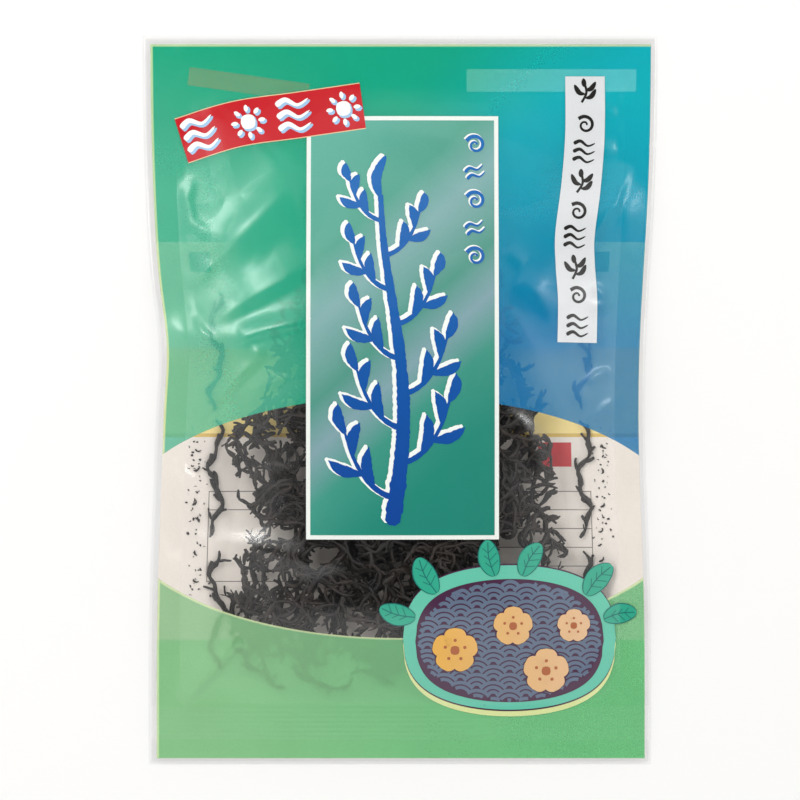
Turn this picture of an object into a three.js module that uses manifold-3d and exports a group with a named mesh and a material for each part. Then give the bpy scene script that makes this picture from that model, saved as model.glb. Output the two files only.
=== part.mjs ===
// Sealed film packet of dried long hijiki, lying on its back with its printed front up.
// Millimetres, +Z up, +Y towards the packet's top, origin on the surface under the packet's centre.
// u and v are places on the film as it lay flat, before the contents bulged it and drew its sides in.
import * as THREE from 'three';
import { mergeVertices } from 'three/addons/utils/BufferGeometryUtils.js';
import Module from 'manifold-3d';

const wasm = await Module();
wasm.setup();

// Films
const FILM_WIDTH = 170;
const FILM_HEIGHT = 240;
const FILM_THICK = 0.6;
const MERGE_WITHIN = 1e-4;
const WELD_GAP = 0.3;
const CLEAR_MARGIN = 3;
const SIDE_SEAL = 10.5;
const BOTTOM_SEAL_TOP = -100.5;
const BOTTOM_SEAL_FOOT = -112;
const TOP_SEAL_FOOT = 103;
const NOTCH_V = 84;
const NOTCH_HALF = 1.2;
const NOTCH_DEPTH = 1.6;
const SEAL_MIDDLE = 6.8;
const TOP_SEAL_MIDDLE = 112.5;
const FRONT_CELLS = [20, 24];
const BACK_CELLS = [12, 16];

// Shape that the contents give the films
const FRONT_BULGE = 13.2;
const BACK_BULGE = 11;
const WAIST_PULL = 4.4;
const WAIST_V = 2;
const WAIST_SPAN = 58;
const LEFT_PINCH = 1.7;
const LEFT_PINCH_V = 18;
const LEFT_PINCH_SPAN = 17;
const FOOT_PULL = 2.2;
const FOOT_PULL_FROM = 20;
const FOOT_SLOPE = 36;
const FOOT_POWER = 0.6;
const HEAD_SLOPE = 105;
const HEAD_POWER = 1.15;
const SIDE_POWER = 2.3;
const SIDE_ROUND = 0.8;
const FOLDS_FROM = 0.12;
const SEAM_HEIGHT = 2.2;
const SEAM_LIFT = 3.6;
const SEAM_LIFT_V = -8;
const SEAM_LIFT_SPAN = 70;
const RIPPLE = 0.8;
const RIPPLE_PITCH = 82;
const RIPPLE_FROM = 55;
const RIPPLE_V = 10;
const RIPPLE_SPAN = 60;

// Large folds of the front film, each a low ridge, or a groove where its height is negative
const FRONT_FOLDS = [
  { from: [-62, 44], to: [-32, 76], half: 7, height: 1.6 },
  { from: [-66, 52], to: [-48, 20], half: 6, height: -1.2 },
  { from: [-50, 20], to: [-24, 30], half: 6, height: 1.1 },
  { from: [66, 68], to: [40, 30], half: 7, height: 1.3 },
  { from: [60, 10], to: [34, 40], half: 7, height: -1.1 },
  { from: [-58, -80], to: [-70, -52], half: 6, height: 0.9 },
  { from: [-20, 92], to: [26, 84], half: 8, height: 0.9 },
];

// Dried hijiki
const STRAND_RADIUS = 1.35;
const STRAND_STEP = 6;
const STRAND_POINTS = 22;
const STRAND_SPACE = 5;
const SHORTEST_ROUTE = 8;
const WEAVE = 0.35;
const WEAVE_STEP = 1.7;
const BEND_CHANGE = 0.9;
const MOST_BEND = 0.75;
const SHARP_TURNS = [0.9, -0.9, 1.5, -1.5];
const BUNCH_SEED = 410;
const MOST_SPOTS = 400;
const STRANDS_IN_BUNCH = [3, 6, 7, 6, 4];
const BRANCHLET_LENGTH = 5;
const BRANCHLET_RADIUS = 0.85;
const BRANCHLET_EVERY = 3;
const BRANCHLET_TURN = 0.8;
const BRANCHLET_TURN_MORE = 0.5;
const LAYER_PITCH = 3.15;
const LAYERS = 5;
const FILM_CLEARANCE = 0.9;
const TOUCH_GAP = 0.25;
const FUSE_TOLERANCE = 0.08;
const HEAP_HALF_WIDTH = 54;
const HEAP_FOOT = -95;
const HEAP_TOP = 44;
const LOOSE_SIDE = 59.8;
const LOOSE_SWAY = 1.4;
const LOOSE_LENGTH = 38;
const LOOSE_POINTS = 8;
const LOOSE_STARTS = [-88, -45, -3];
const LOOSE_BRANCHLET = 3.4;
const CRUMB_SIDE = 67;
const CRUMB_SPREAD = 0.8;
const CRUMB_LENGTH = 3;
const CRUMB_RADIUS = 0.7;
const CRUMBS_A_SIDE = 6;
const CRUMB_FOOT = -62;
const CRUMB_TOP = -8;
const CRUMB_SEED = 77;
const LOOSE_SEED = 131;
const DROP = 1;
const SETTLE_STEPS = 12;
const SETTLE_REACH = 4;

const clearFilm = { roughness: 0.25, metalness: 0, transparent: true, opacity: 0.45 };
const frontMaterial = new THREE.MeshStandardMaterial({ color: 0x3fa98a, ...clearFilm });
const backMaterial = new THREE.MeshStandardMaterial({ color: 0xddd3c6, ...clearFilm });
const hijikiMaterial = new THREE.MeshStandardMaterial({ color: 0x24201d, roughness: 0.7, metalness: 0 });

const packet = new THREE.Group();
packet.name = 'hijiki_packet';

// Smooth helpers
const clamp = THREE.MathUtils.clamp;
const bell = (t) => Math.exp(-t * t);
const ease = (from, to, t) => THREE.MathUtils.smoothstep(t, from, to);

// Same draws on every run
function seeded(seed) {
  let state = seed;
  return () => {
    state = (state + 0x6d2b79f5) | 0;
    let mixed = Math.imul(state ^ (state >>> 15), 1 | state);
    mixed = (mixed + Math.imul(mixed ^ (mixed >>> 7), 61 | mixed)) ^ mixed;
    return ((mixed ^ (mixed >>> 14)) >>> 0) / 4294967296;
  };
}

// The bulge draws the sides in, most at the waist, and the film's top stays at its full width
function drawnIn(side, v) {
  const waist = WAIST_PULL * bell((v - WAIST_V) / WAIST_SPAN);
  const pinch = side < 0 ? LEFT_PINCH * bell((v - LEFT_PINCH_V) / LEFT_PINCH_SPAN) : 0;
  const foot = FOOT_PULL * (1 - ease(-FILM_HEIGHT / 2, FOOT_PULL_FROM, v));
  return 1 - (waist + pinch + foot) / (FILM_WIDTH / 2);
}

const filmX = (u, v) => u * drawnIn(u, v);
const flatU = (x, y) => x / drawnIn(x, y);

// Height of the weld between the films, which ripples along both sides
function seamZ(u, v) {
  const lift = SEAM_LIFT * bell((v - SEAM_LIFT_V) / SEAM_LIFT_SPAN);
  const side = ease(RIPPLE_FROM, FILM_WIDTH / 2, Math.abs(u));
  const shift = Math.sign(u) * RIPPLE_PITCH / 4;
  const wave = Math.sin((v + shift) * Math.PI * 2 / RIPPLE_PITCH);
  return SEAM_HEIGHT + lift + side * RIPPLE * wave * bell((v - RIPPLE_V) / RIPPLE_SPAN);
}

// How full the packet is at a place: 1 at the middle of the heap, 0 along the welds
function fullness(u, v) {
  const across = clamp(Math.abs(u) / (FILM_WIDTH / 2 - SIDE_SEAL), 0, 1);
  const sides = Math.pow(1 - Math.pow(across, SIDE_POWER), SIDE_ROUND);
  const foot = Math.pow(ease(BOTTOM_SEAL_TOP, BOTTOM_SEAL_TOP + FOOT_SLOPE, v), FOOT_POWER);
  const head = clamp((TOP_SEAL_FOOT - v) / HEAD_SLOPE, 0, 1);
  return sides * foot * Math.pow(Math.sin(head * Math.PI / 2), HEAD_POWER);
}

// A fold is a long low ridge between two places on the film, fading towards both ends
function foldHeight(u, v, fold) {
  const [u0, v0] = fold.from;
  const [u1, v1] = fold.to;
  const along = ((u - u0) * (u1 - u0) + (v - v0) * (v1 - v0)) / ((u1 - u0) ** 2 + (v1 - v0) ** 2);
  const t = clamp(along, 0, 1);
  const away = Math.hypot(u - u0 - t * (u1 - u0), v - v0 - t * (v1 - v0));
  return fold.height * bell(away / fold.half) * Math.sin(Math.PI * t);
}

// Middle heights of the two films
function frontZ(u, v) {
  const folds = FRONT_FOLDS.reduce((sum, fold) => sum + foldHeight(u, v, fold), 0);
  const full = fullness(u, v);
  const lift = FRONT_BULGE * full + folds * ease(0, FOLDS_FROM, full);
  return seamZ(u, v) + (WELD_GAP + FILM_THICK) / 2 + Math.max(lift, 0);
}

function backZ(u, v) {
  const sunk = seamZ(u, v) - (WELD_GAP + FILM_THICK) / 2 - BACK_BULGE * fullness(u, v);
  return Math.max(sunk, FILM_THICK / 2);
}

const frontAt = (x, y) => frontZ(flatU(x, y), y);
const backAt = (x, y) => backZ(flatU(x, y), y);

// Grid lines: one on each edge of a weld, and even ones between
function evenLines(from, to, count) {
  return Array.from({ length: count }, (_, i) => from + (to - from) * i / count);
}

function columnLines(count) {
  const edge = FILM_WIDTH / 2;
  const inner = edge - SIDE_SEAL;
  return [-edge, -edge + CLEAR_MARGIN, -edge + SEAL_MIDDLE, ...evenLines(-inner, inner, count),
    inner, edge - SEAL_MIDDLE, edge - CLEAR_MARGIN, edge];
}

function rowLines(count) {
  const edge = FILM_HEIGHT / 2;
  const apart = (v) => Math.abs(v - NOTCH_V) > NOTCH_HALF * 2;
  const between = evenLines(BOTTOM_SEAL_TOP, TOP_SEAL_FOOT, count).filter(apart);
  const notch = [NOTCH_V - NOTCH_HALF, NOTCH_V, NOTCH_V + NOTCH_HALF];
  const rows = [-edge, -edge + CLEAR_MARGIN, BOTTOM_SEAL_FOOT, ...between, ...notch,
    TOP_SEAL_FOOT, TOP_SEAL_MIDDLE, edge - CLEAR_MARGIN, edge];
  return rows.sort((a, b) => a - b);
}

// One film: a flat box with grid lines, bent to its height, with the tear notch nicked in its right edge
function filmGeometry(height, cells) {
  const columns = columnLines(cells[0]);
  const rows = rowLines(cells[1]);
  const across = columns.length - 1;
  const up = rows.length - 1;
  const box = new THREE.BoxGeometry(across, up, 1, across, up, 1);
  const place = box.getAttribute('position');
  for (let i = 0; i < place.count; i++) {
    const u = columns[Math.round(place.getX(i) + across / 2)];
    const v = rows[Math.round(place.getY(i) + up / 2)];
    const notched = u === FILM_WIDTH / 2 && v === NOTCH_V ? NOTCH_DEPTH : 0;
    place.setXYZ(i, filmX(u, v) - notched, v, height(u, v) + place.getZ(i) * FILM_THICK);
  }
  return box;
}

function addMesh(name, geometry, material) {
  const mesh = new THREE.Mesh(geometry, material);
  mesh.name = name;
  packet.add(mesh);
}

function solid(geometry) {
  geometry.deleteAttribute('normal');
  geometry.deleteAttribute('uv');
  const merged = mergeVertices(geometry, MERGE_WITHIN);
  return new wasm.Manifold(new wasm.Mesh({
    numProp: 3,
    vertProperties: new Float32Array(merged.getAttribute('position').array),
    triVerts: new Uint32Array(merged.getIndex().array),
  }));
}

function geometryOf(manifold) {
  const mesh = manifold.getMesh();
  const geometry = new THREE.BufferGeometry();
  geometry.setAttribute('position', new THREE.BufferAttribute(mesh.vertProperties, 3));
  geometry.setIndex(new THREE.BufferAttribute(mesh.triVerts, 1));
  geometry.computeVertexNormals();
  return geometry;
}

function nearestTo(spot, points) {
  const distances = points.map((point) => point.distanceTo(spot));
  return points[distances.indexOf(Math.min(...distances))];
}

// The heap's layers lie parallel, a pitch apart, halfway between the films
function layerZ(x, y, layer) {
  const middle = (frontAt(x, y) + backAt(x, y)) / 2;
  return middle + (layer - (LAYERS - 1) / 2) * LAYER_PITCH;
}

// Whether a strand of this layer has room between the films
function hasRoom(x, y, layer) {
  if (Math.abs(x) > HEAP_HALF_WIDTH || y < HEAP_FOOT || y > HEAP_TOP) return false;
  const z = layerZ(x, y, layer);
  const clear = STRAND_RADIUS + FILM_CLEARANCE + FILM_THICK / 2;
  return z - clear > backAt(x, y) && z + clear < frontAt(x, y);
}

// A strand's route: it wanders and curls, turns back at the heap's edge and never crosses itself
function strandRoute(random, layer, x, y, heading) {
  const route = [];
  let bend = 0;
  for (let i = 0; i < STRAND_POINTS; i++) {
    const weave = WEAVE * Math.sin(i * WEAVE_STEP + layer);
    route.push(new THREE.Vector3(x, y, layerZ(x, y, layer) + weave));
    bend = clamp(bend + (random() - 0.5) * BEND_CHANGE, -MOST_BEND, MOST_BEND);
    let turned = false;
    for (const swing of [bend, -bend, ...SHARP_TURNS]) {
      const nextX = x + STRAND_STEP * Math.cos(heading + swing);
      const nextY = y + STRAND_STEP * Math.sin(heading + swing);
      const apart = route.slice(0, -1).every((p) => Math.hypot(p.x - nextX, p.y - nextY) > STRAND_SPACE);
      if (!apart || !hasRoom(nextX, nextY, layer)) continue;
      [x, y, heading, turned] = [nextX, nextY, heading + swing, true];
      break;
    }
    if (!turned) break;
  }
  return route;
}

// A three-sided tube along the route
function strandSolid(route) {
  const section = new THREE.Shape();
  for (let i = 0; i < 3; i++) {
    const angle = i * Math.PI * 2 / 3;
    const corner = [STRAND_RADIUS * Math.cos(angle), STRAND_RADIUS * Math.sin(angle)];
    if (i === 0) section.moveTo(...corner);
    else section.lineTo(...corner);
  }
  const extrudePath = new THREE.CatmullRomCurve3(route);
  const steps = route.length - 1;
  return solid(new THREE.ExtrudeGeometry(section, { steps, bevelEnabled: false, extrudePath }));
}

// A tapered three-sided piece from its thick end to its tip
function taperSolid(root, tip, radius) {
  const taper = new THREE.CylinderGeometry(radius * 0.5, radius, root.distanceTo(tip), 3, 1);
  const away = tip.clone().sub(root).normalize();
  taper.applyQuaternion(new THREE.Quaternion().setFromUnitVectors(new THREE.Vector3(0, 1, 0), away));
  const middle = root.clone().add(tip).multiplyScalar(0.5);
  taper.translate(middle.x, middle.y, middle.z);
  return solid(taper);
}

// Short side branchlets, left and right in turn, sunk into the strand
function branchletSolids(random, route, length, allowed) {
  const branchlets = [];
  for (let i = 2; i < route.length - 1; i += BRANCHLET_EVERY) {
    const along = route[i + 1].clone().sub(route[i]).normalize();
    const side = (i % 2 ? 1 : -1) * (BRANCHLET_TURN + random() * BRANCHLET_TURN_MORE);
    const away = along.clone().applyAxisAngle(new THREE.Vector3(0, 0, 1), side);
    const tip = route[i].clone().addScaledVector(away, length);
    if (allowed(tip.x, tip.y)) branchlets.push(taperSolid(route[i], tip, BRANCHLET_RADIUS));
  }
  return branchlets;
}

// Fused pieces, of which only the largest connected body is kept
function fuse(pieces) {
  const bodies = wasm.Manifold.union(pieces).simplify(FUSE_TOLERANCE).decompose();
  return bodies.reduce((largest, body) => (body.volume() > largest.volume() ? body : largest));
}

// A piece comes down until it nearly touches what lies under it
function settled(piece, below) {
  let lowered = piece;
  for (let i = 0; i < SETTLE_STEPS; i++) {
    const gap = Math.min(...below.map((other) => lowered.minGap(other, SETTLE_REACH)));
    if (gap <= TOUCH_GAP) break;
    lowered = lowered.translate([0, 0, TOUCH_GAP - gap]);
  }
  return lowered;
}

// One bunch is a mat of crossing strands in one layer of the heap. Each new strand sets out from the
// strand that lies nearest to a spot drawn at random, towards that spot.
function bunch(layer) {
  const random = seeded(BUNCH_SEED + layer);
  const inHeap = (x, y) => hasRoom(x, y, layer);
  const routes = [];
  const pieces = [];
  let spots = 0;
  while (routes.length < STRANDS_IN_BUNCH[layer] && spots++ < MOST_SPOTS) {
    const x = (random() * 2 - 1) * HEAP_HALF_WIDTH;
    const y = HEAP_FOOT + random() * (HEAP_TOP - HEAP_FOOT);
    if (!inHeap(x, y)) continue;
    const spot = new THREE.Vector3(x, y, layerZ(x, y, layer));
    const nearest = nearestTo(spot, routes.flat()) ?? spot;
    const heading = nearest === spot ? random() * Math.PI * 2 : Math.atan2(y - nearest.y, x - nearest.x);
    const route = strandRoute(random, layer, nearest.x, nearest.y, heading);
    if (route.length < SHORTEST_ROUTE) continue;
    routes.push(route);
    pieces.push(strandSolid(route), ...branchletSolids(random, route, BRANCHLET_LENGTH, inHeap));
  }
  return fuse(pieces);
}

// A loose strand sways along the heap's side, lying on the back film
function looseStrand(side, start, random) {
  const phase = random() * Math.PI * 2;
  const route = [];
  for (let i = 0; i < LOOSE_POINTS; i++) {
    const t = i / (LOOSE_POINTS - 1);
    const x = side * (LOOSE_SIDE + LOOSE_SWAY * Math.sin(phase + t * Math.PI * 3));
    const y = start + t * LOOSE_LENGTH;
    route.push(new THREE.Vector3(x, y, backAt(x, y) + FILM_THICK / 2 + STRAND_RADIUS + DROP));
  }
  const outside = (x) => side * x > LOOSE_SIDE;
  return fuse([strandSolid(route), ...branchletSolids(random, route, LOOSE_BRANCHLET, outside)]);
}

// A crumb lies flat on the back film, close to the weld
function crumb(side, y, random) {
  const heading = random() * Math.PI * 2;
  const x = side * (CRUMB_SIDE + (random() * 2 - 1) * CRUMB_SPREAD);
  const ends = [-0.5, 0.5].map((half) => {
    const endX = x + half * CRUMB_LENGTH * Math.cos(heading);
    const endY = y + half * CRUMB_LENGTH * Math.sin(heading);
    return new THREE.Vector3(endX, endY, backAt(endX, endY) + FILM_THICK / 2 + CRUMB_RADIUS + DROP);
  });
  return taperSolid(ends[0], ends[1], CRUMB_RADIUS);
}

const frontFilm = filmGeometry(frontZ, FRONT_CELLS);
const backFilm = filmGeometry(backZ, BACK_CELLS);
addMesh('front_film', frontFilm, frontMaterial);
addMesh('back_film', backFilm, backMaterial);
const backSolid = solid(backFilm.clone());

const heap = [backSolid];
for (let layer = 0; layer < LAYERS; layer++) {
  const lowered = settled(bunch(layer), heap);
  heap.push(lowered);
  addMesh(`hijiki_bunch_${layer + 1}`, geometryOf(lowered), hijikiMaterial);
}

const looseRandom = seeded(LOOSE_SEED);
const crumbRandom = seeded(CRUMB_SEED);
for (const [side, sideName] of [[-1, 'left'], [1, 'right']]) {
  LOOSE_STARTS.forEach((start, i) => {
    const strand = settled(looseStrand(side, start, looseRandom), [backSolid]);
    addMesh(`hijiki_strand_${sideName}_${i + 1}`, geometryOf(strand), hijikiMaterial);
  });
  for (let i = 0; i < CRUMBS_A_SIDE; i++) {
    const y = CRUMB_FOOT + (CRUMB_TOP - CRUMB_FOOT) * (i + 0.6 * crumbRandom()) / CRUMBS_A_SIDE;
    const piece = settled(crumb(side, y, crumbRandom), [backSolid]);
    addMesh(`hijiki_crumb_${sideName}_${i + 1}`, geometryOf(piece), hijikiMaterial);
  }
}

export default packet;
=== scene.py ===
"""A sealed clear film packet of dried long hijiki, lying on its back under soft studio light.

Places on the packet are written in millimetres and turned to metres when a mesh is finished. x, y is a
place seen from above; u, v is the same place on the film as it lay flat, before the bulge drew its sides in.
"""
import math
import random

import bmesh
import bpy
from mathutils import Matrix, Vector, noise


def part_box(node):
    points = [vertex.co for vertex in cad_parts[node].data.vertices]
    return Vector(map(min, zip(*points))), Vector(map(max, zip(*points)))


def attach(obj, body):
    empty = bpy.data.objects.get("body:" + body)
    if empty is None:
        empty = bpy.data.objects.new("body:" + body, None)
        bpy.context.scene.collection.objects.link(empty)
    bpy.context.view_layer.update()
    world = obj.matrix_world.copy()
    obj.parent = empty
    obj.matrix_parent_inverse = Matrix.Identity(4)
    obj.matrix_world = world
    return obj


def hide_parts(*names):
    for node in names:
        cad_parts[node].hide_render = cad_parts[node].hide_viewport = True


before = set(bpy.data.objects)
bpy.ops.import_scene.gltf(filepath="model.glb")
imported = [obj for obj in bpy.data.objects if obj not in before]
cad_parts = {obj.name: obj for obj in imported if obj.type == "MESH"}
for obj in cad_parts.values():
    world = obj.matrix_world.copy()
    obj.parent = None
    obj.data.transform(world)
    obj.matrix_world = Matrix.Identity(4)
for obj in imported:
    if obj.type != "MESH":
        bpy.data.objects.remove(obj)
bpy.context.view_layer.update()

MM = 0.001
BODY = "root"

# Camera: the picture is 800 pixels wide, and a pixel of it covers 0.33 mm of the packet
PICTURE_PX = 800
PX = 0.33
CAMERA_HEIGHT = 1.6
SENSOR = 36

# Films, as in the solid model
FILM_WIDTH = 170
FILM_HEIGHT = 240
FILM_THICK = 0.2
WELD_HALF = 0.02
PRINT_MARGIN = 2.5
SIDE_SEAL = 10.5
SEAL_INNER = FILM_WIDTH / 2 - SIDE_SEAL
BOTTOM_SEAL_TOP = -100.5
BOTTOM_SEAL_FOOT = -112
TOP_SEAL_FOOT = 103
NOTCH_V = 84
NOTCH_HALF = 1.2
NOTCH_DEPTH = 1.6
FRONT_BULGE = 13.2
BACK_BULGE = 11
WAIST_PULL = 4.4
WAIST_V = 2
WAIST_SPAN = 58
LEFT_PINCH = 1.7
LEFT_PINCH_V = 18
LEFT_PINCH_SPAN = 17
FOOT_PULL = 2.2
FOOT_PULL_FROM = 20
FOOT_SLOPE = 36
FOOT_POWER = 0.6
HEAD_SLOPE = 105
HEAD_POWER = 1.15
SIDE_POWER = 2.3
SIDE_ROUND = 1.0
FOLDS_FROM = 0.12
SEAM_HEIGHT = 2.2
SEAM_LIFT = 3.6
SEAM_LIFT_V = -8
SEAM_LIFT_SPAN = 70
RIPPLE = 0.8
RIPPLE_PITCH = 82
RIPPLE_FROM = 55
RIPPLE_V = 10
RIPPLE_SPAN = 60

# Heat-seal ribs: rows of fine ridges that the sealing jaws press into the weld
RIB_PITCH = 0.9
RIB_HEIGHT = 0.01
FOOT_RIB_PITCH = 1.6
FOOT_RIB_HEIGHT = 0.16

# Slow unevenness of the front film: broad slack, and puckers that run in from the side seals. Each takes
# its own slice through the noise.
SLACK = 0.3
SLACK_PITCH = 34
SLACK_SLICE = 3.7
PUCKER = 0.6
PUCKER_PITCH = 8
PUCKER_REACH = 16
PUCKER_SLICE = 7.3

# Where a side seal has buckled: its side, v, half width and height
BUCKLES = (
    (-1, 21, 6.5, 2.2),
    (-1, -74, 9, 0.7),
    (1, 60, 11, 2.6),
    (1, -2, 8, 0.8),
)

# Print of both films, in u, v: its rectangle, and the ellipse left clear as the front window
FILM_UV = "flat_film"
PRINT_LEFT = -82.3
PRINT_RIGHT = 82.8
PRINT_FOOT = -118
PRINT_HEAD = 117.2
WINDOW_V = -38.3
WINDOW_HALF_WIDTH = 96
WINDOW_HALF_HEIGHT = 39.6
PRINT_SHARP = 0.12
RIM = 0.7
WINDOW_RIM = 0.5

# Grid of a film: half the width of its plain middle, which has no creases, half that of the kink where it
# leaves a weld, and how large its cells are in each of its zones
PLAIN_HALF = 30
WELD_EDGE = 0.15
MARGIN_CELL = 1.3
WELD_CELL = 1.6
HEAD_CELL = 1.0
ROW_CELL = 0.9
CREASED_CELL = 0.78
PLAIN_CELL = 1.8

# Flat printed shapes: the spacing of their cells, the step from one print to the next, and the much
# smaller step from one stroke to the next within a print
CELL = 1.1
FINE_CELL = CELL / 2
MARK_CELL = CELL / 3
INK_STEP = 0.05
STROKE_STEP = 0.0006

# Heap of long strands, as in the solid model, and the loose strands and crumbs at each side of it
LAYERS = 5
LAYER_PITCH = 3.15
HEAP_HALF_WIDTH = 58
HEAP_FOOT = -95
HEAP_TOP = 44
STRAND_PITCH = 6.6
STRAND_RADIUS = 0.72
STRAND_STEP = 1.1
STRAND_LENGTHS = (12, 46)
HOLE_PITCH = 5
HOLE_FROM = 0.36
RAGGED_EDGE = 7
HEAP_SEED = 40
CURLS = 3
CRUMBS = 6
FILM_CLEARANCE = 0.4
WRINKLE = 0.3
WRINKLE_PITCH = 0.9
SPECKS = 10

# Ink lets some of what lies under it show: the share that each of a film's two faces covers, how much it
# tints what it lets show, the share of the light that each face scatters on into the packet, and the ink's
# own dull finish under the film
FRONT_COVER = 0.5
BACK_COVER = 0.9
INK_TINT = 0.35
SCATTERED_ON = 0.94
INK_ROUGHNESS = 0.45
INK_SPECULAR = 0.15

# Dried weed is thin, so a share of the light finds its way through each of its surfaces
WEED_LETS_BY = 0.5

# Gloss of the film: its roughness, and what one face of it mirrors of light that meets it head on
FILM_ROUGHNESS = 0.14
HEAD_ON = 0.026

# Facets of the handled film: how wide they are, how deep the creases between them, and how these sway
FACET_SIZE = 19
FACET_DEPTH = 0.6
SWAY_SIZE = 18
SWAY = 12

# Light: a pale room that is dark overhead, where the camera looks in, and two softboxes beside the camera.
# The room darkens between two heights on a sphere of 1 round the packet. A softbox has a brighter core in a
# broad soft glow, with a level for each.
ROOM_LIGHT = 1.01
ROOM_OVERHEAD = 0.06
DIM_FROM = 0.83
DIM_TO = 0.99
SOFTBOX_SIZE = (760, 900)
SOFTBOX_CORE = 0.24
KEY_PLACE = (-530, 400, 850)
KEY_WATTS = 26
KEY_LEVELS = (0.33, 0.7)
FILL_PLACE = (670, 350, 780)
FILL_WATTS = 17
FILL_LEVELS = (0.15, 0.8)
SMOOTHLY = {"interpolation_type": "SMOOTHSTEP"}

# Floor: half its width, and how far it lies below the packet
FLOOR_HALF = 2500
FLOOR_GAP = 0.05

# Large folds of the front film, close to those of the solid model: ends in u, v, half width, height
LARGE_FOLDS = (
    ((-62, 44), (-32, 76), 7, 1.6),
    ((-66, 52), (-48, 20), 6, -0.3),
    ((-50, 20), (-24, 30), 7, 0.5),
    ((66, 68), (40, 30), 7, 0.8),
    ((60, 10), (34, 40), 7, -0.3),
    ((-58, -80), (-70, -52), 6, 0.9),
    ((-20, 92), (26, 84), 8, 0.9),
)


def px(x, y):
    """A place in the photograph, in pixels, as x, y on the packet in millimetres."""
    return ((x - PICTURE_PX / 2) * PX, (PICTURE_PX / 2 - y) * PX)


# Creases of the front film, by the pixels that they run through: points, half width on the left and on
# the right of their course, height. A crease is crisp on its narrow side, and runs out at both ends, the
# sooner the larger CREASE_ENDS is.
CREASE_ENDS = 0.6
CREASES = (
    (((188, 98), (215, 113), (256, 140), (284, 168), (294, 205), (298, 250)), 2.2, 7.0, 0.45),
    (((193, 178), (188, 200), (193, 222), (212, 235)), 1.5, 2.6, 0.4),
    (((192, 288), (203, 273), (219, 256), (250, 226), (292, 186)), 4.0, 3.0, 0.3),
    (((193, 288), (210, 268), (232, 250)), 1.3, 1.3, 0.35),
    (((204, 322), (228, 312), (250, 299), (284, 280), (310, 262)), 7.0, 3.0, 1.2),
    (((240, 340), (270, 331), (312, 322)), 4.5, 1.3, 1.1),
    (((197, 316), (203, 332), (214, 343), (226, 356)), 1.4, 1.4, 0.7),
    (((193, 330), (201, 345), (213, 355)), 1.3, 1.3, 0.4),
    (((252, 353), (266, 354)), 2.0, 1.3, 0.4),
    (((268, 352), (240, 379), (216, 404), (196, 426)), 1.3, 8.0, 0.9),
    (((250, 364), (234, 382), (218, 402)), 1.3, 2.0, 0.3),
    (((628, 166), (616, 205), (588, 237)), 1.4, 3.4, 1.2),
    (((613, 219), (598, 232), (586, 247)), 1.3, 1.8, 0.6),
    (((617, 113), (606, 114), (596, 105)), 1.5, 3.0, 0.6),
    (((617, 150), (604, 151), (596, 144)), 1.5, 3.0, 0.6),
    (((592, 286), (613, 303)), 1.3, 1.8, 0.6),
    (((588, 306), (613, 304)), 1.4, 2.4, 0.4),
    (((586, 384), (598, 374), (609, 371)), 1.4, 2.2, 0.5),
    (((584, 426), (597, 413), (611, 401)), 1.4, 2.2, 0.5),
    (((506, 250), (516, 260), (524, 266)), 2.6, 2.0, 0.4),
    (((516, 282), (534, 294), (554, 318)), 4.0, 2.2, 0.7),
    (((183, 702), (205, 680), (228, 655), (243, 640)), 5.0, 1.7, 2.0),
    (((166, 549), (200, 545), (260, 549), (310, 562), (352, 560)), 6.0, 3.0, 1.6),
    (((240, 492), (270, 478), (318, 470)), 4.5, 2.2, 0.4),
    (((500, 408), (522, 424), (540, 446), (546, 478)), 2.4, 5.0, 0.8),
    (((176, 456), (186, 474), (197, 483)), 1.5, 2.0, 0.7),
    (((543, 690), (590, 672), (618, 640)), 3.6, 5.0, 0.4),
)


def bell(t):
    return math.exp(-t * t)


def clamp(t, low=0.0, high=1.0):
    return min(max(t, low), high)


def ease(low, high, t):
    t = clamp((t - low) / (high - low))
    return t * t * (3 - 2 * t)


def drawn_in(side, v):
    waist = WAIST_PULL * bell((v - WAIST_V) / WAIST_SPAN)
    pinch = LEFT_PINCH * bell((v - LEFT_PINCH_V) / LEFT_PINCH_SPAN) if side < 0 else 0
    foot = FOOT_PULL * (1 - ease(-FILM_HEIGHT / 2, FOOT_PULL_FROM, v))
    return 1 - (waist + pinch + foot) / (FILM_WIDTH / 2)


def buckle(u, v):
    """Where a side seal stands up in a short hump, highest along its inner edge."""
    across = ease(SEAL_INNER / 2, SEAL_INNER, abs(u)) * (1 - ease(SEAL_INNER, FILM_WIDTH / 2, abs(u)))
    return across * sum(height * bell((v - middle) / half)
                        for side, middle, half, height in BUCKLES if side * u > 0)


def seam_z(u, v):
    lift = SEAM_LIFT * bell((v - SEAM_LIFT_V) / SEAM_LIFT_SPAN)
    side = ease(RIPPLE_FROM, FILM_WIDTH / 2, abs(u))
    shift = math.copysign(RIPPLE_PITCH / 4, u)
    wave = math.sin((v + shift) * math.tau / RIPPLE_PITCH)
    return SEAM_HEIGHT + lift + side * RIPPLE * wave * bell((v - RIPPLE_V) / RIPPLE_SPAN) + buckle(u, v)


def fullness(u, v):
    across = clamp(abs(u) / SEAL_INNER)
    sides = (1 - across ** SIDE_POWER) ** SIDE_ROUND
    foot = ease(BOTTOM_SEAL_TOP, BOTTOM_SEAL_TOP + FOOT_SLOPE, v) ** FOOT_POWER
    head = clamp((TOP_SEAL_FOOT - v) / HEAD_SLOPE)
    return sides * foot * math.sin(head * math.pi / 2) ** HEAD_POWER


def nearest_on(x, y, start, end):
    """How far along from start to end the nearest place to x, y is, and how far it is from x, y."""
    (x0, y0), (x1, y1) = start, end
    t = clamp(((x - x0) * (x1 - x0) + (y - y0) * (y1 - y0)) / ((x1 - x0) ** 2 + (y1 - y0) ** 2))
    return t, math.hypot(x - x0 - t * (x1 - x0), y - y0 - t * (y1 - y0))


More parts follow.
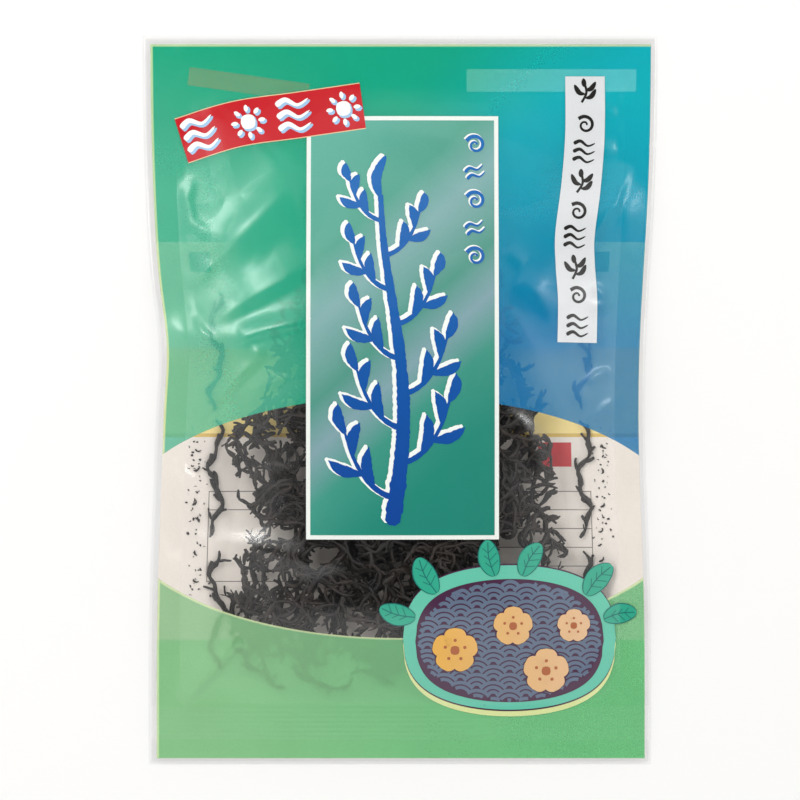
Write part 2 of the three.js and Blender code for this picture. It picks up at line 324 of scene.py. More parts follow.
def fold_height(u, v, fold):
    start, end, half, height = fold
    t, away = nearest_on(u, v, start, end)
    return height * bell(away / half) * math.sin(math.pi * t)


def placed_crease(crease):
    """The crease in millimetres, with the box outside which it is too low to count."""
    pixels, left, right, height = crease
    points = [px(*pixel) for pixel in pixels]
    reach = 2.4 * max(left, right)
    low = [min(point[i] for point in points) - reach for i in range(2)]
    high = [max(point[i] for point in points) + reach for i in range(2)]
    return points, left, right, height, (low, high)


PLACED_CREASES = [placed_crease(crease) for crease in CREASES]


def crease_height(x, y, crease):
    points, left, right, height, (low, high) = crease
    if not (low[0] < x < high[0] and low[1] < y < high[1]):
        return 0.0
    nearest, half, where = math.inf, left, 0.0
    last = len(points) - 1
    for i, (start, end) in enumerate(zip(points, points[1:])):
        t, away = nearest_on(x, y, start, end)
        if away < nearest:
            (x0, y0), (x1, y1) = start, end
            on_left = (x1 - x0) * (y - y0) > (y1 - y0) * (x - x0)
            nearest, half, where = away, left if on_left else right, (i + t) / last
    return height * bell(nearest / half) * math.sin(math.pi * where) ** CREASE_ENDS


def slack(x, y):
    """Slow unevenness of a film that what it holds presses out."""
    return SLACK * noise.noise(Vector((x / SLACK_PITCH, y / SLACK_PITCH, SLACK_SLICE)))


def pucker(u, v):
    """Short ridges where the film leaves a side seal, which end a little way in."""
    t = (SEAL_INNER - abs(u)) / PUCKER_REACH
    if not 0 < t < 1:
        return 0.0
    ridge = noise.noise(Vector((t, v / PUCKER_PITCH, math.copysign(PUCKER_SLICE, u))))
    return PUCKER * ridge * ease(0, 0.2, t) * (1 - t)


def front_top(u, v):
    full = fullness(u, v)
    x = u * drawn_in(u, v)
    folds = sum(fold_height(u, v, fold) for fold in LARGE_FOLDS) + slack(x, v)
    creases = pucker(u, v) + sum(crease_height(x, v, crease) for crease in PLACED_CREASES)
    lift = FRONT_BULGE * full + folds * ease(0, FOLDS_FROM, full) + creases
    return seam_z(u, v) + WELD_HALF + FILM_THICK + max(lift, 0)


def back_top(u, v):
    sunk = seam_z(u, v) - WELD_HALF - BACK_BULGE * fullness(u, v)
    return max(sunk, FILM_THICK)


def front_at(x, y):
    return front_top(x / drawn_in(x, y), y)


def back_at(x, y):
    return back_top(x / drawn_in(x, y), y)


def stepped(stops, steps):
    """Places from the first stop to the last, spread evenly between neighbours about a step apart."""
    places = [stops[0]]
    for low, high, step in zip(stops, stops[1:], steps):
        count = max(1, round((high - low) / step))
        places += [low + (high - low) * (i + 1) / count for i in range(count)]
    return places


def notched(u, v):
    """u, held back at the right edge where the tear notch nicks it."""
    depth = NOTCH_DEPTH * max(0.0, 1 - abs(v - NOTCH_V) / NOTCH_HALF)
    return min(u, FILM_WIDTH / 2 - depth)


# Pieces

def finished(name, bm, material):
    """Turns a bmesh in millimetres into a piece in metres that rides on the packet."""
    bmesh.ops.scale(bm, vec=(MM, MM, MM), verts=bm.verts)
    for face in bm.faces:
        face.smooth = True
    mesh = bpy.data.meshes.new(name)
    bm.to_mesh(mesh)
    bm.free()
    piece = bpy.data.objects.new(name, mesh)
    bpy.context.scene.collection.objects.link(piece)
    mesh.materials.append(material)
    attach(piece, BODY)
    return piece


def film(name, node_name, top, material):
    """One film: a grid of its flat shape, bent to its heights, with its flat place kept in a UV map."""
    edge, end = FILM_WIDTH / 2, FILM_HEIGHT / 2
    right = (PLAIN_HALF, SEAL_INNER - WELD_EDGE, SEAL_INNER, SEAL_INNER + WELD_EDGE, edge - PRINT_MARGIN,
             edge)
    side_cells = (MARGIN_CELL,) * (len(right) - 2)
    columns = stepped((*[-u for u in reversed(right)], *right),
                      (*side_cells, CREASED_CELL, PLAIN_CELL, CREASED_CELL, *side_cells))
    rows = stepped(
        (-end, -end + PRINT_MARGIN, BOTTOM_SEAL_FOOT, BOTTOM_SEAL_TOP, NOTCH_V - NOTCH_HALF, NOTCH_V,
         NOTCH_V + NOTCH_HALF, TOP_SEAL_FOOT, end - PRINT_MARGIN, end),
        (MARGIN_CELL, WELD_CELL, MARGIN_CELL, ROW_CELL, NOTCH_HALF, NOTCH_HALF, HEAD_CELL, WELD_CELL,
         MARGIN_CELL))
    across, up = len(columns) - 1, len(rows) - 1
    bm = bmesh.new()
    bmesh.ops.create_grid(bm, x_segments=across, y_segments=up, size=1)
    layer = bm.loops.layers.uv.new(FILM_UV)
    flat = {}
    for vert in bm.verts:
        u = columns[round((vert.co.x + 1) / 2 * across)]
        v = rows[round((vert.co.y + 1) / 2 * up)]
        flat[vert] = (u / FILM_WIDTH + 0.5, v / FILM_HEIGHT + 0.5)
        vert.co = (notched(u, v) * drawn_in(u, v), v, top(u, v))
    for face in bm.faces:
        for loop in face.loops:
            loop[layer].uv = flat[loop.vert]
    piece = finished(name, bm, material)
    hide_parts(node_name)
    solidify = piece.modifiers.new("thickness", "SOLIDIFY")
    solidify.thickness = FILM_THICK * MM
    solidify.offset = -1


# Print that stands as flat shapes on a film

def smooth_path(points, step):
    """Places about a step apart on a smooth curve through the points."""
    ends = [points[0], *points, points[-1]]
    path = []
    for a, b, c, d in zip(ends, ends[1:], ends[2:], ends[3:]):
        count = max(1, round(math.dist(b, c) / step))
        for i in range(count):
            t = i / count
            path.append(tuple(
                0.5 * (2 * q + (r - p) * t + (2 * p - 5 * q + 4 * r - s) * t ** 2
                       + (3 * q - p - 3 * r + s) * t ** 3)
                for p, q, r, s in zip(a, b, c, d)))
    return path + [tuple(points[-1])]


def leaf_width(t):
    return math.sin(math.pi * (0.02 + 0.96 * t)) ** 0.8


def brush_width(t):
    """Full soon after the brush touches down, thin where it lifts."""
    return min(1.0, 0.5 + 6 * t) * (1 - 0.75 * t) * min(1.0, 0.2 + 9 * (1 - t))


def press_and_lift(t):
    """Thin from the stem, pressed broad past the middle, and lifted to a point."""
    return (0.3 + 0.7 * math.sin(math.pi * clamp(1.15 * t ** 1.25)) ** 0.9) * min(1.0, 6 * (1.02 - t))


def stem_width(t):
    """Rounded where the brush sets down, and thinner all the way up."""
    return min(1.0, 0.4 + 25 * t) * (1 - 0.7 * t)


def round_width(t):
    return math.sqrt(max(1 - (2 * t - 1) ** 2, 0.0))


def even_width(t):
    return 1.0


def stroke(points, width, profile=even_width, step=CELL):
    """A stroke as its places and its half width at each of them."""
    path = smooth_path(points, step)
    last = len(path) - 1
    return path, [max(width / 2 * profile(i / last), 0.03) for i in range(last + 1)]


def dot(x, y, radius):
    return stroke(((x - radius, y), (x + radius, y)), 2 * radius, round_width, min(CELL, radius / 5))


def add_stroke(bm, path, halves, height_at):
    """One flat ribbon along the path, draped by a height at each x, y."""
    last = len(path) - 1
    across = max(1, round(2 * max(halves) / CELL))
    made = bmesh.ops.create_grid(bm, x_segments=last, y_segments=across, size=1)
    for vert in made["verts"]:
        i = round((vert.co.x + 1) / 2 * last)
        x0, y0 = path[max(i - 1, 0)]
        x1, y1 = path[min(i + 1, last)]
        run = math.hypot(x1 - x0, y1 - y0)
        side = vert.co.y * halves[i] / run
        x, y = path[i][0] - (y1 - y0) * side, path[i][1] + (x1 - x0) * side
        vert.co = (x, y, height_at(x, y))


def printed(name, strokes, material, step):
    """A piece of flat ink on the front film, so many ink steps above it."""
    bm = bmesh.new()
    for i, (path, halves) in enumerate(strokes):
        lift = step * INK_STEP + i * STROKE_STEP
        add_stroke(bm, path, halves, lambda x, y: front_at(x, y) + lift)
    return finished(name, bm, material)


def shifted(strokes, dx, dy, grow=0.0):
    """The same strokes moved aside and grown, for the paler edge that shows round them."""
    return [([(x + dx, y + dy) for x, y in path], [half + grow for half in halves])
            for path, halves in strokes]


def along(centre_line, t):
    """The place at t, from 0 to 1, on a centre line of pixels, and the direction there."""
    path = smooth_path([px(*point) for point in centre_line], 1)
    i = min(round(t * (len(path) - 1)), len(path) - 2)
    (x0, y0), (x1, y1) = path[i], path[i + 1]
    return x0, y0, math.atan2(y1 - y0, x1 - x0)


def turned(strokes, x, y, angle):
    c, s = math.cos(angle), math.sin(angle)
    return [([(x + c * a - s * b, y + s * a + c * b) for a, b in path], halves) for path, halves in strokes]


def ragged(strokes, seed):
    """The strokes with the uneven edge of a dry brush."""
    return [(path, [half * (1 + 0.2 * noise.noise(Vector((x * 0.9, y * 0.9, seed))))
                    for (x, y), half in zip(path, halves)]) for path, halves in strokes]


def spray(x, y, side, reach, width):
    """A side branch that bends upwards, with slender leaves by turns along it and one at its tip."""
    def place(t):
        return x + side * reach * (t - 0.3 * t * t), y + reach * (0.25 * t + 0.65 * t * t)

    strokes = [stroke([place(i / 5) for i in range(6)], 0.5 * width, lambda t: 1 - 0.6 * t, FINE_CELL)]
    for t, turn in ((0.35, 0.7), (0.55, -0.6), (0.78, 0.6), (1.0, 0.0)):
        x0, y0 = place(t)
        x1, y1 = place(t + 0.05)
        heading = math.atan2(y1 - y0, x1 - x0) + side * turn
        length = reach * (0.62 - 0.2 * t)
        tip = (x0 + length * math.cos(heading), y0 + length * math.sin(heading))
        bent, half_way = heading - 0.2 * side, 0.55 * length
        bend = (x0 + half_way * math.cos(bent), y0 + half_way * math.sin(bent))
        strokes.append(stroke([(x0, y0), bend, tip], 0.9 * width, press_and_lift, FINE_CELL))
    return strokes


def frond(x, foot, head, width, sprays):
    """A seaweed drawn with a brush: a swaying stem, and leafy sprays that leave it by turns."""
    def stem(t):
        return x + 0.035 * (head - foot) * math.sin(4.6 * t), foot + (head - foot) * t

    tip_x, tip_y = stem(1)
    crown = [(tip_x, tip_y - 0.2 * width), (tip_x - 0.25 * width, tip_y + width),
             (tip_x + 0.3 * width, tip_y + 2.3 * width)]
    strokes = [stroke([stem(i / 8) for i in range(9)], width, stem_width, FINE_CELL),
               stroke(crown, 0.6 * width, leaf_width, FINE_CELL)]
    for k in range(sprays):
        t = 0.08 + 0.84 * k / (sprays - 1)
        side = 1 if k % 2 else -1
        strokes += spray(*stem(t), side, width * (4.4 - 1.9 * t), 0.75 * width * (1 - 0.25 * t))
    return ragged(strokes, 1.7)


def sprig(size):
    """A small curved stem with three leaves by turns and one at its tip."""
    strokes = [stroke([(-0.3 * size, -size), (0.1 * size, -0.2 * size), (0, 0.5 * size)], 0.2 * size,
                      step=MARK_CELL)]
    for side, rise, reach in ((1, -0.62, 0.75), (-1, -0.28, 0.8), (1, 0.05, 0.7), (-0.15, 0.35, 0.7)):
        strokes.append(stroke(
            [(0, rise * size), (side * 0.5 * size, (rise + 0.12) * size),
             (side * 0.9 * size, (rise + reach) * size)], 0.42 * size, leaf_width, MARK_CELL))
    return strokes


def waves(size, count=3):
    return [stroke([(-size, y * size), (-0.4 * size, (y + 0.28) * size), (0.3 * size, (y - 0.12) * size),
                    (size, (y + 0.2) * size)], 0.38 * size, brush_width, MARK_CELL)
            for y in [0.75 * (i - (count - 1) / 2) for i in range(count)]]


def swirl(size, last=14, turn=0.62):
    turns = []
    for i in range(last + 1):
        reach = size * (0.15 + 0.75 * i / last)
        turns.append((reach * math.cos(i * turn), reach * math.sin(i * turn)))
    return [stroke(turns, 0.36 * size, lambda t: 0.5 + 0.5 * t, MARK_CELL)]


def sun(size, rays=8):
    strokes = [dot(0, 0, 0.42 * size)]
    for i in range(rays):
        c, s = math.cos(i * math.tau / rays), math.sin(i * math.tau / rays)
        strokes.append(stroke([(0.58 * size * c, 0.58 * size * s), (0.98 * size * c, 0.98 * size * s)],
                              0.24 * size, leaf_width, MARK_CELL))
    return strokes


def petal_places(x, y, reach):
    """The places of a blossom's petals, so far out from its middle."""
    angles = [i * math.tau / PETALS + PETAL_TURN for i in range(PETALS)]
    return [(x + reach * math.cos(angle), y + reach * math.sin(angle)) for angle in angles]


def blossom(x, y, size):
    return [stroke(ends, 0.98 * size, round_width, FINE_CELL)
            for ends in zip(petal_places(x, y, 0.12 * size), petal_places(x, y, size))]


def wave_scales(x, y, half_x, half_y, radius, width):
    """The traditional wave ground: rows of rings, each row hidden below by the next, inside an ellipse."""
    strokes = []
    rows, columns = math.ceil(2 * half_y / radius) + 2, math.ceil(half_x / radius) + 1
    for row in range(-rows, rows + 1):
        for column in range(-columns, columns + 1):
            cx, cy = x + (2 * column + row % 2) * radius, y + row * radius / 2
            covers = [(cx - radius, cy - radius / 2), (cx + radius, cy - radius / 2), (cx, cy - radius)]
            for share in (0.94, 0.64, 0.34):
                run = []
                for i in range(25):
                    angle = math.pi * (i / 24 * 1.2 - 0.1)
                    place = (cx + share * radius * math.cos(angle), cy + share * radius * math.sin(angle))
                    inside = math.hypot((place[0] - x) / half_x, (place[1] - y) / half_y) < 1
                    if inside and all(math.dist(place, cover) > radius for cover in covers):
                        run.append(place)
                if len(run) > 2:
                    strokes.append((run, [width / 2] * len(run)))
    return strokes


# Materials

def srgb(code):
    """A colour written as on screen, as the linear values that Blender mixes."""
    parts = [int(code[i:i + 2], 16) / 255 for i in (0, 2, 4)]
    return (*[c / 12.92 if c < 0.04045 else ((c + 0.055) / 1.055) ** 2.4 for c in parts], 1)


def per_metre(size_mm):
    """The pattern scale whose features are about so many millimetres wide."""
    return 1 / (size_mm * MM)


def grey(level):
    return (level, level, level, 1)


def new_material(name):
    material = bpy.data.materials.new(name)
    material.use_nodes = True
    tree = material.node_tree
    tree.nodes.clear()
    return material, tree


def node(tree, kind, settings, *sockets, **named):
    """Adds a node with its settings; its inputs are values, or other nodes and sockets that are linked."""
    made = tree.nodes.new("ShaderNode" + kind)
    for setting, value in settings.items():
        setattr(made, setting, value)
    for place, value in [*enumerate(sockets), *named.items()]:
        socket = made.inputs[place.replace("_", " ") if isinstance(place, str) else place]
        if isinstance(value, bpy.types.Node):
            tree.links.new(value.outputs[0], socket)
        elif isinstance(value, bpy.types.NodeSocket):
            tree.links.new(value, socket)
        elif value is not None:
            socket.default_value = value
    return made


def product(tree, *factors):
    result = factors[0]
    for factor in factors[1:]:
        result = node(tree, "Math", {"operation": "MULTIPLY"}, result, factor)
    return result


def past(tree, value, edge, soft):
    """0 before the edge and 1 after it, or the other way round where soft is negative."""
    return node(tree, "MapRange", {}, value, edge - soft / 2, edge + soft / 2)


def box_mask(tree, u, v, low, high, soft=PRINT_SHARP):
    return product(tree, past(tree, u, low[0], soft), past(tree, u, high[0], -soft),
                   past(tree, v, low[1], soft), past(tree, v, high[1], -soft))


def over(tree, mask, under_colour, colour):
    return node(tree, "MixRGB", {}, mask, under_colour, colour)


def either(tree, mask, other):
    return node(tree, "Math", {"operation": "MAXIMUM"}, mask, other)


def output(material, tree, surface):
    node(tree, "OutputMaterial", {}, surface)
    return material


def object_place(tree):
    return node(tree, "TexCoord", {}).outputs["Object"]


def flat_place(tree):
    """u and v in millimetres, and both as one vector."""
    uv = node(tree, "UVMap", {"uv_map": FILM_UV})
    place = node(tree, "Mapping", {}, uv, Location=(-FILM_WIDTH / 2, -FILM_HEIGHT / 2, 0),
                 Scale=(FILM_WIDTH, FILM_HEIGHT, 1))
    parts = node(tree, "SeparateXYZ", {}, place)
    return parts.outputs[0], parts.outputs[1], place


def crumple(tree):
    """Facets of handled film that meet in faint creases; film and ink share them, so highlights run on."""
    place = object_place(tree)
    sway = node(tree, "TexNoise", {}, place, Scale=per_metre(SWAY_SIZE), Detail=1).outputs["Color"]
    bent = node(tree, "VectorMath", {"operation": "MULTIPLY_ADD"}, sway, (SWAY * MM, SWAY * MM, 0), place)
    facets = node(tree, "TexVoronoi", {"voronoi_dimensions": "2D", "feature": "DISTANCE_TO_EDGE"}, bent,
                  Scale=per_metre(FACET_SIZE))
    return node(tree, "Bump", {}, Strength=0.5, Distance=FACET_DEPTH * MM, Height=facets)


def schlick(tree, bump):
    """The share of light that one face of the film mirrors: little head on, more at a slant."""
    facing = node(tree, "LayerWeight", {}, Normal=bump).outputs["Facing"]
    slant = node(tree, "Math", {"operation": "POWER"}, facing, 5.0)
    return node(tree, "Math", {"operation": "MULTIPLY_ADD"}, slant, 1 - HEAD_ON, HEAD_ON)


def lets_light_by(tree, surface, colour):
    """The surface as it is seen, but one that lamp light and scattered light pass through by a colour."""
    path = node(tree, "LightPath", {})
    through = node(tree, "BsdfTransparent", {}, colour)
    for ray in ("Is Shadow Ray", "Is Diffuse Ray"):
        surface = node(tree, "MixShader", {}, path.outputs[ray], surface, through)
    return surface


def mottled(tree, colour, amount):
    """The slight cloudiness of a printed ink: broad patches and a fine grain."""
    place = object_place(tree)
    broad = node(tree, "TexNoise", {}, place, Scale=per_metre(22), Detail=2)
    grain = node(tree, "TexNoise", {}, place, Scale=per_metre(0.5), Detail=1)
    both = node(tree, "Math", {"operation": "ADD"}, broad, grain)
    level = node(tree, "MapRange", {}, both, 0.6, 1.4, 1 - amount, 1 + amount)
    return node(tree, "MixRGB", {"blend_type": "MULTIPLY"}, 1.0, colour, level)


def glossy_ink(material, tree, colour):
    """Ink on the inner side of the film: a little cloudy, as gravure print is, under the film's gloss."""
    bump = crumple(tree)
    ink = node(tree, "BsdfPrincipled", {}, Base_Color=mottled(tree, colour, 0.04), Roughness=INK_ROUGHNESS,
               Specular_IOR_Level=INK_SPECULAR, Coat_Weight=1.0, Coat_Roughness=FILM_ROUGHNESS, Coat_IOR=1.5,
               Normal=bump, Coat_Normal=bump)
    return output(material, tree, ink)


def table_rules(tree, u, v):
    """Thin rules of a plain table, printed on the back: a box with a head row, and rows in its right half."""
    half, foot, head, line, row = 66, -60, -30, 0.3, 6.2
    outer = box_mask(tree, u, v, (-half, foot), (half, head))
    inner = box_mask(tree, u, v, (-half + line, foot + line), (half - line, head - line))
    below_head = node(tree, "Math", {"operation": "SUBTRACT"}, v, head)
    rows = node(tree, "Math", {"operation": "PINGPONG"}, below_head, row / 2)
    ruled = either(tree, past(tree, u, 0, 1), past(tree, v, head - row * 1.2, 1))
    on_row = product(tree, past(tree, rows, line / 2, -PRINT_SHARP), outer, ruled)
    frame_line = node(tree, "Math", {"operation": "SUBTRACT"}, outer, inner)
    return either(tree, on_row, frame_line)


def print_rect(tree, u, v):
    return box_mask(tree, u, v, (PRINT_LEFT, PRINT_FOOT), (PRINT_RIGHT, PRINT_HEAD))


def seal_ribs(tree, u, v):
    """Fine ridges of the sealing jaws: upright along both sides, level across the foot."""
    side = past(tree, node(tree, "Math", {"operation": "ABSOLUTE"}, u), SEAL_INNER, 1)
    foot = box_mask(tree, u, v, (-FILM_WIDTH / 2, BOTTOM_SEAL_FOOT), (FILM_WIDTH / 2, BOTTOM_SEAL_TOP), 1)
    upright = product(tree, node(tree, "Math", {"operation": "PINGPONG"}, u, RIB_PITCH / 2),
                      side, RIB_HEIGHT * 2 / RIB_PITCH)
    level = product(tree, node(tree, "Math", {"operation": "PINGPONG"}, v, FOOT_RIB_PITCH / 2),
                    foot, FOOT_RIB_HEIGHT * 2 / FOOT_RIB_PITCH)
    ridges = node(tree, "Math", {"operation": "ADD"}, upright, level)
    return node(tree, "Bump", {}, Strength=1, Distance=MM, Height=ridges, Normal=crumple(tree))


def printed_film(name, colour_and_place, ink_cover):
    """Clear polypropylene film, blown thin and reverse printed: ink under a gloss, and bare film elsewhere.

    Ink filters what shows through it, and scatters light on into the packet, so it shades less than it hides.
    """
    material, tree = new_material(name)
    u, v, place = flat_place(tree)
    colour, where = colour_and_place(tree, u, v, place)
    bump = seal_ribs(tree, u, v)
    ink = node(tree, "BsdfPrincipled", {}, Base_Color=mottled(tree, colour, 0.06), Roughness=INK_ROUGHNESS,
               Specular_IOR_Level=INK_SPECULAR, Normal=bump)
    tint = over(tree, INK_TINT, grey(1), node(tree, "Gamma", {}, colour, 0.5))
    inked = node(tree, "MixShader", {}, ink_cover, node(tree, "BsdfTransparent", {}, tint), ink)
    clear = node(tree, "BsdfTransparent", {}, grey(1))
    gloss = node(tree, "BsdfAnisotropic", {}, Color=grey(1), Roughness=FILM_ROUGHNESS, Normal=bump)
    sheet = node(tree, "MixShader", {}, where, clear, inked)
    film_look = node(tree, "MixShader", {}, schlick(tree, bump), sheet, gloss)
    passed_on = over(tree, where, grey(1), grey(SCATTERED_ON))
    return output(material, tree, lets_light_by(tree, film_look, passed_on))


def front_print(tree, u, v, place):
    """Green and blue of the front: a clear oval across the lower half, greens left and below, blue right."""
    edge = print_rect(tree, u, v)
    oval = node(tree, "VectorMath", {"operation": "LENGTH"}, node(
        tree, "Mapping", {}, place, Location=(0, -WINDOW_V / WINDOW_HALF_HEIGHT, 0),
        Scale=(1 / WINDOW_HALF_WIDTH, 1 / WINDOW_HALF_HEIGHT, 1))).outputs["Value"]
    outside = past(tree, oval, 1, PRINT_SHARP / WINDOW_HALF_HEIGHT)
    upper = past(tree, v, WINDOW_V, 1)

    # Lighter, greyer green towards the left edge: partly the print's own green and partly painted sheen,
    # standing in for the gloss that lightens the film's left side
    greens = over(tree, past(tree, u, -48, 62), srgb("5ABA9A"), srgb("00AB84"))
    greens = over(tree, past(tree, v, 96, 50), greens, srgb("02A981"))
    blues = over(tree, past(tree, v, 60, -80), srgb("00B4BC"), srgb("007AB2"))
    slope = node(tree, "Math", {"operation": "MULTIPLY_ADD"}, u, 0.72, node(
        tree, "Math", {"operation": "MULTIPLY"}, v, -1.0))
    to_blue = product(tree, past(tree, slope, -82, 46), past(tree, u, 14, 40))
    above = over(tree, to_blue, greens, blues)

    below = over(tree, past(tree, u, -10, 110), srgb("8CC08C"), srgb("6BBB7E"))
    colour = over(tree, upper, below, above)
    rim_edge = box_mask(tree, u, v, (PRINT_LEFT + RIM, PRINT_FOOT), (PRINT_RIGHT, PRINT_HEAD - RIM), 0.4)
    rim_oval = past(tree, oval, 1 + WINDOW_RIM / WINDOW_HALF_HEIGHT, 0.3 / WINDOW_HALF_HEIGHT)
    inside_rim = product(tree, rim_edge, either(tree, rim_oval, upper))
    return over(tree, inside_rim, srgb("D2E2AE"), colour), product(tree, edge, outside)


def back_print(tree, u, v, place):
    """Back film: green to teal above and green below a band of cream, with the plain shapes of its print, and
    a green block of painted shade across the band's middle.
    """
    ground = over(tree, past(tree, u, 0, 120), srgb("36B48C"), srgb("1CA0B4"))
    ground = over(tree, past(tree, v, -40, -10), ground, srgb("98DCA2"))
    cream = over(tree, past(tree, v, -11, 0.3), srgb("ECE3D9"), srgb("F9E294"))
    cream = over(tree, past(tree, v, 17, 0.3), cream, srgb("D9E6C0"))
    cream = over(tree, box_mask(tree, u, v, (-90, -12.2), (90, -11)), cream, srgb("DDBB60"))
    # Painted shade: a block of the ground's green across the middle of the cream band darkens it above the
    # window, where the heap and the front film shade the back
    cream = over(tree, box_mask(tree, u, v, (-58, 17), (58, 60), 9), cream, ground)
    cream = over(tree, table_rules(tree, u, v), cream, srgb("7A736B"))
    cream = over(tree, box_mask(tree, u, v, (48, -22), (59.5, -14)), cream, srgb("C8323A"))
    band = box_mask(tree, u, v, (-90, -79), (90, 52))
    colour = over(tree, band, ground, cream)
    for bar_left, bar_right in ((-71.5, -64.5), (63.5, 71)):
        bar = box_mask(tree, u, v, (bar_left, 42.2), (bar_right, 48.8))
        colour = over(tree, bar, colour, srgb("2C9C78"))
    colour = over(tree, box_mask(tree, u, v, (22, 101.6), (78, 109)), colour, srgb("ECF3EE"))
    tilted = node(tree, "SeparateXYZ", {}, node(tree, "Mapping", {}, place, Rotation=(0, 0, math.radians(8))))
    strip = box_mask(tree, tilted.outputs[0], tilted.outputs[1], (-84, 93), (-44, 99))
    colour = over(tree, strip, colour, srgb("FF7A40"))
    return colour, print_rect(tree, u, v)


def plain_ink(name, colour):
    return glossy_ink(*new_material(name), srgb(colour))


def graded_ink(name, stops, direction, low, high):
    """Ink that changes colour along a direction across the front, from low to high in millimetres."""
    material, tree = new_material(name)
    place = object_place(tree)
    run = node(tree, "VectorMath", {"operation": "DOT_PRODUCT"}, place, (*direction, 0)).outputs["Value"]
    ramp = node(tree, "ValToRGB", {}, node(tree, "MapRange", {}, run, low * MM, high * MM))
    elements = ramp.color_ramp.elements
    while len(elements) < len(stops):
        elements.new(0.5)
    for element, (where, colour) in zip(elements, stops):
        element.position = (where - low) / (high - low)
        element.color = srgb(colour)
    return glossy_ink(material, tree, ramp)


def dried_weed():
    """Dried brown seaweed: near-black and leathery, shrunk into fine wrinkles, with a dull salt bloom."""
    material, tree = new_material("dried_seaweed")
    place = object_place(tree)
    hue = node(tree, "TexNoise", {}, place, Scale=per_metre(9), Detail=2)
    colour = over(tree, past(tree, hue, 0.5, 0.3), srgb("100C09"), srgb("231911"))
    bloom = node(tree, "TexNoise", {}, place, Scale=per_metre(1.1), Detail=3, Roughness=0.6)
    colour = over(tree, product(tree, past(tree, bloom, 0.68, 0.12), 0.3), colour, srgb("4A4642"))
    wrinkle = node(tree, "TexNoise", {}, place, Scale=per_metre(0.6), Detail=4, Roughness=0.65)
    rough = node(tree, "MapRange", {}, wrinkle, 0.3, 0.7, 0.42, 0.68)
    bump = node(tree, "Bump", {}, Strength=0.8, Distance=0.25 * MM, Height=wrinkle)
    weed = node(tree, "BsdfPrincipled", {}, Base_Color=colour, Roughness=rough, IOR=1.5, Normal=bump)
    return output(material, tree, lets_light_by(tree, weed, grey(WEED_LETS_BY)))


def studio_paper():
    material, tree = new_material("studio_paper")
    place = object_place(tree)
    tooth = node(tree, "TexNoise", {}, place, Scale=per_metre(1.5), Detail=3)
    bump = node(tree, "Bump", {}, Strength=0.1, Distance=0.1 * MM, Height=tooth)
    paper = node(tree, "BsdfPrincipled", {}, Base_Color=srgb("F4F3F1"), Roughness=0.9, Normal=bump)
    return output(material, tree, paper)


# Hijiki

def tubes(strands):
    """A bmesh of wrinkled strands, each place of a strand with its own radius."""
    curve = bpy.data.curves.new("strands", "CURVE")
    curve.dimensions = "3D"
    curve.bevel_depth = 1
    curve.bevel_resolution = 1
    curve.use_fill_caps = True
    for path, radii in strands:
        spline = curve.splines.new("POLY")
        spline.points.add(len(path) - 1)
        for point, place, radius in zip(spline.points, path, radii):
            point.co = (*place, 1)
            point.radius = radius
    carrier = bpy.data.objects.new("strands", curve)
    mesh = bpy.data.meshes.new_from_object(carrier)
    bm = bmesh.new()
    bm.from_mesh(mesh)
    bm.normal_update()
    for vert in bm.verts:
        vert.co += vert.normal * WRINKLE * noise.noise(vert.co / WRINKLE_PITCH)
    bpy.data.objects.remove(carrier)
    bpy.data.curves.remove(curve)
    bpy.data.meshes.remove(mesh)
    return bm


# The heap's sides, by the pixels that they run through, from its foot to its top
HEAP_LEFT = ((270, 690), (232, 655), (224, 612), (224, 580), (246, 530), (238, 490), (226, 442), (256, 404),
             (270, 340), (300, 268))
HEAP_RIGHT = ((540, 690), (568, 655), (572, 600), (568, 560), (556, 490), (550, 447), (552, 420), (540, 380),
              (520, 330), (500, 268))


def side_at(side, y):
    """x of a side of the heap at y."""
    places = [px(*pixel) for pixel in side]
    for (x0, y0), (x1, y1) in zip(places, places[1:]):
        if y < y1:
            return x0 + (x1 - x0) * ease(y0, y1, y)
    return places[-1][0]


def room(x, y, radius):
    """Lowest and highest middle of a strand between the films at x, y."""
    return back_at(x, y) + radius + FILM_CLEARANCE, front_at(x, y) - FILM_THICK - radius - FILM_CLEARANCE


def strand_radii(rng, count, radius):
    """Shrunk and knotty: thick and thin by turns, with drawn-out tips."""
    phase, pitch = rng.uniform(0, 6), rng.uniform(0.6, 1.3)
    radii = []
    for i in range(count):
        t = i / (count - 1)
        tip = min(1.0, 0.5 + 4 * t) * min(1.0, 0.45 + 4 * (1 - t))
        radii.append(radius * tip * (1 + 0.25 * math.sin(pitch * i + phase) + rng.uniform(-0.2, 0.2)))
    return radii


def step_on(x, y, heading):
    return x + STRAND_STEP * math.cos(heading), y + STRAND_STEP * math.sin(heading)


def wandering(rng, x, y, heading, length, height_at, inside):
    """A strand's path: it curls, kinks here and there, and turns back where it would leave the heap."""
    path = []
    curl, turn = rng.uniform(-0.12, 0.12), rng.uniform(0, 6)
    for i in range(max(4, round(length / STRAND_STEP))):
        path.append((x, y, height_at(x, y, i)))
        heading += curl + 0.18 * math.sin(0.35 * i + turn) + rng.uniform(-0.16, 0.16)
        if rng.random() < 0.13:
            heading += rng.choice((-1, 1)) * rng.uniform(0.5, 1.1)
        ahead = step_on(x, y, heading)
        if not inside(*ahead):
            heading += 0.5 if curl > 0 else -0.5
            ahead = step_on(x, y, heading)
            if not inside(*ahead):
                break
        x, y = ahead
    return path


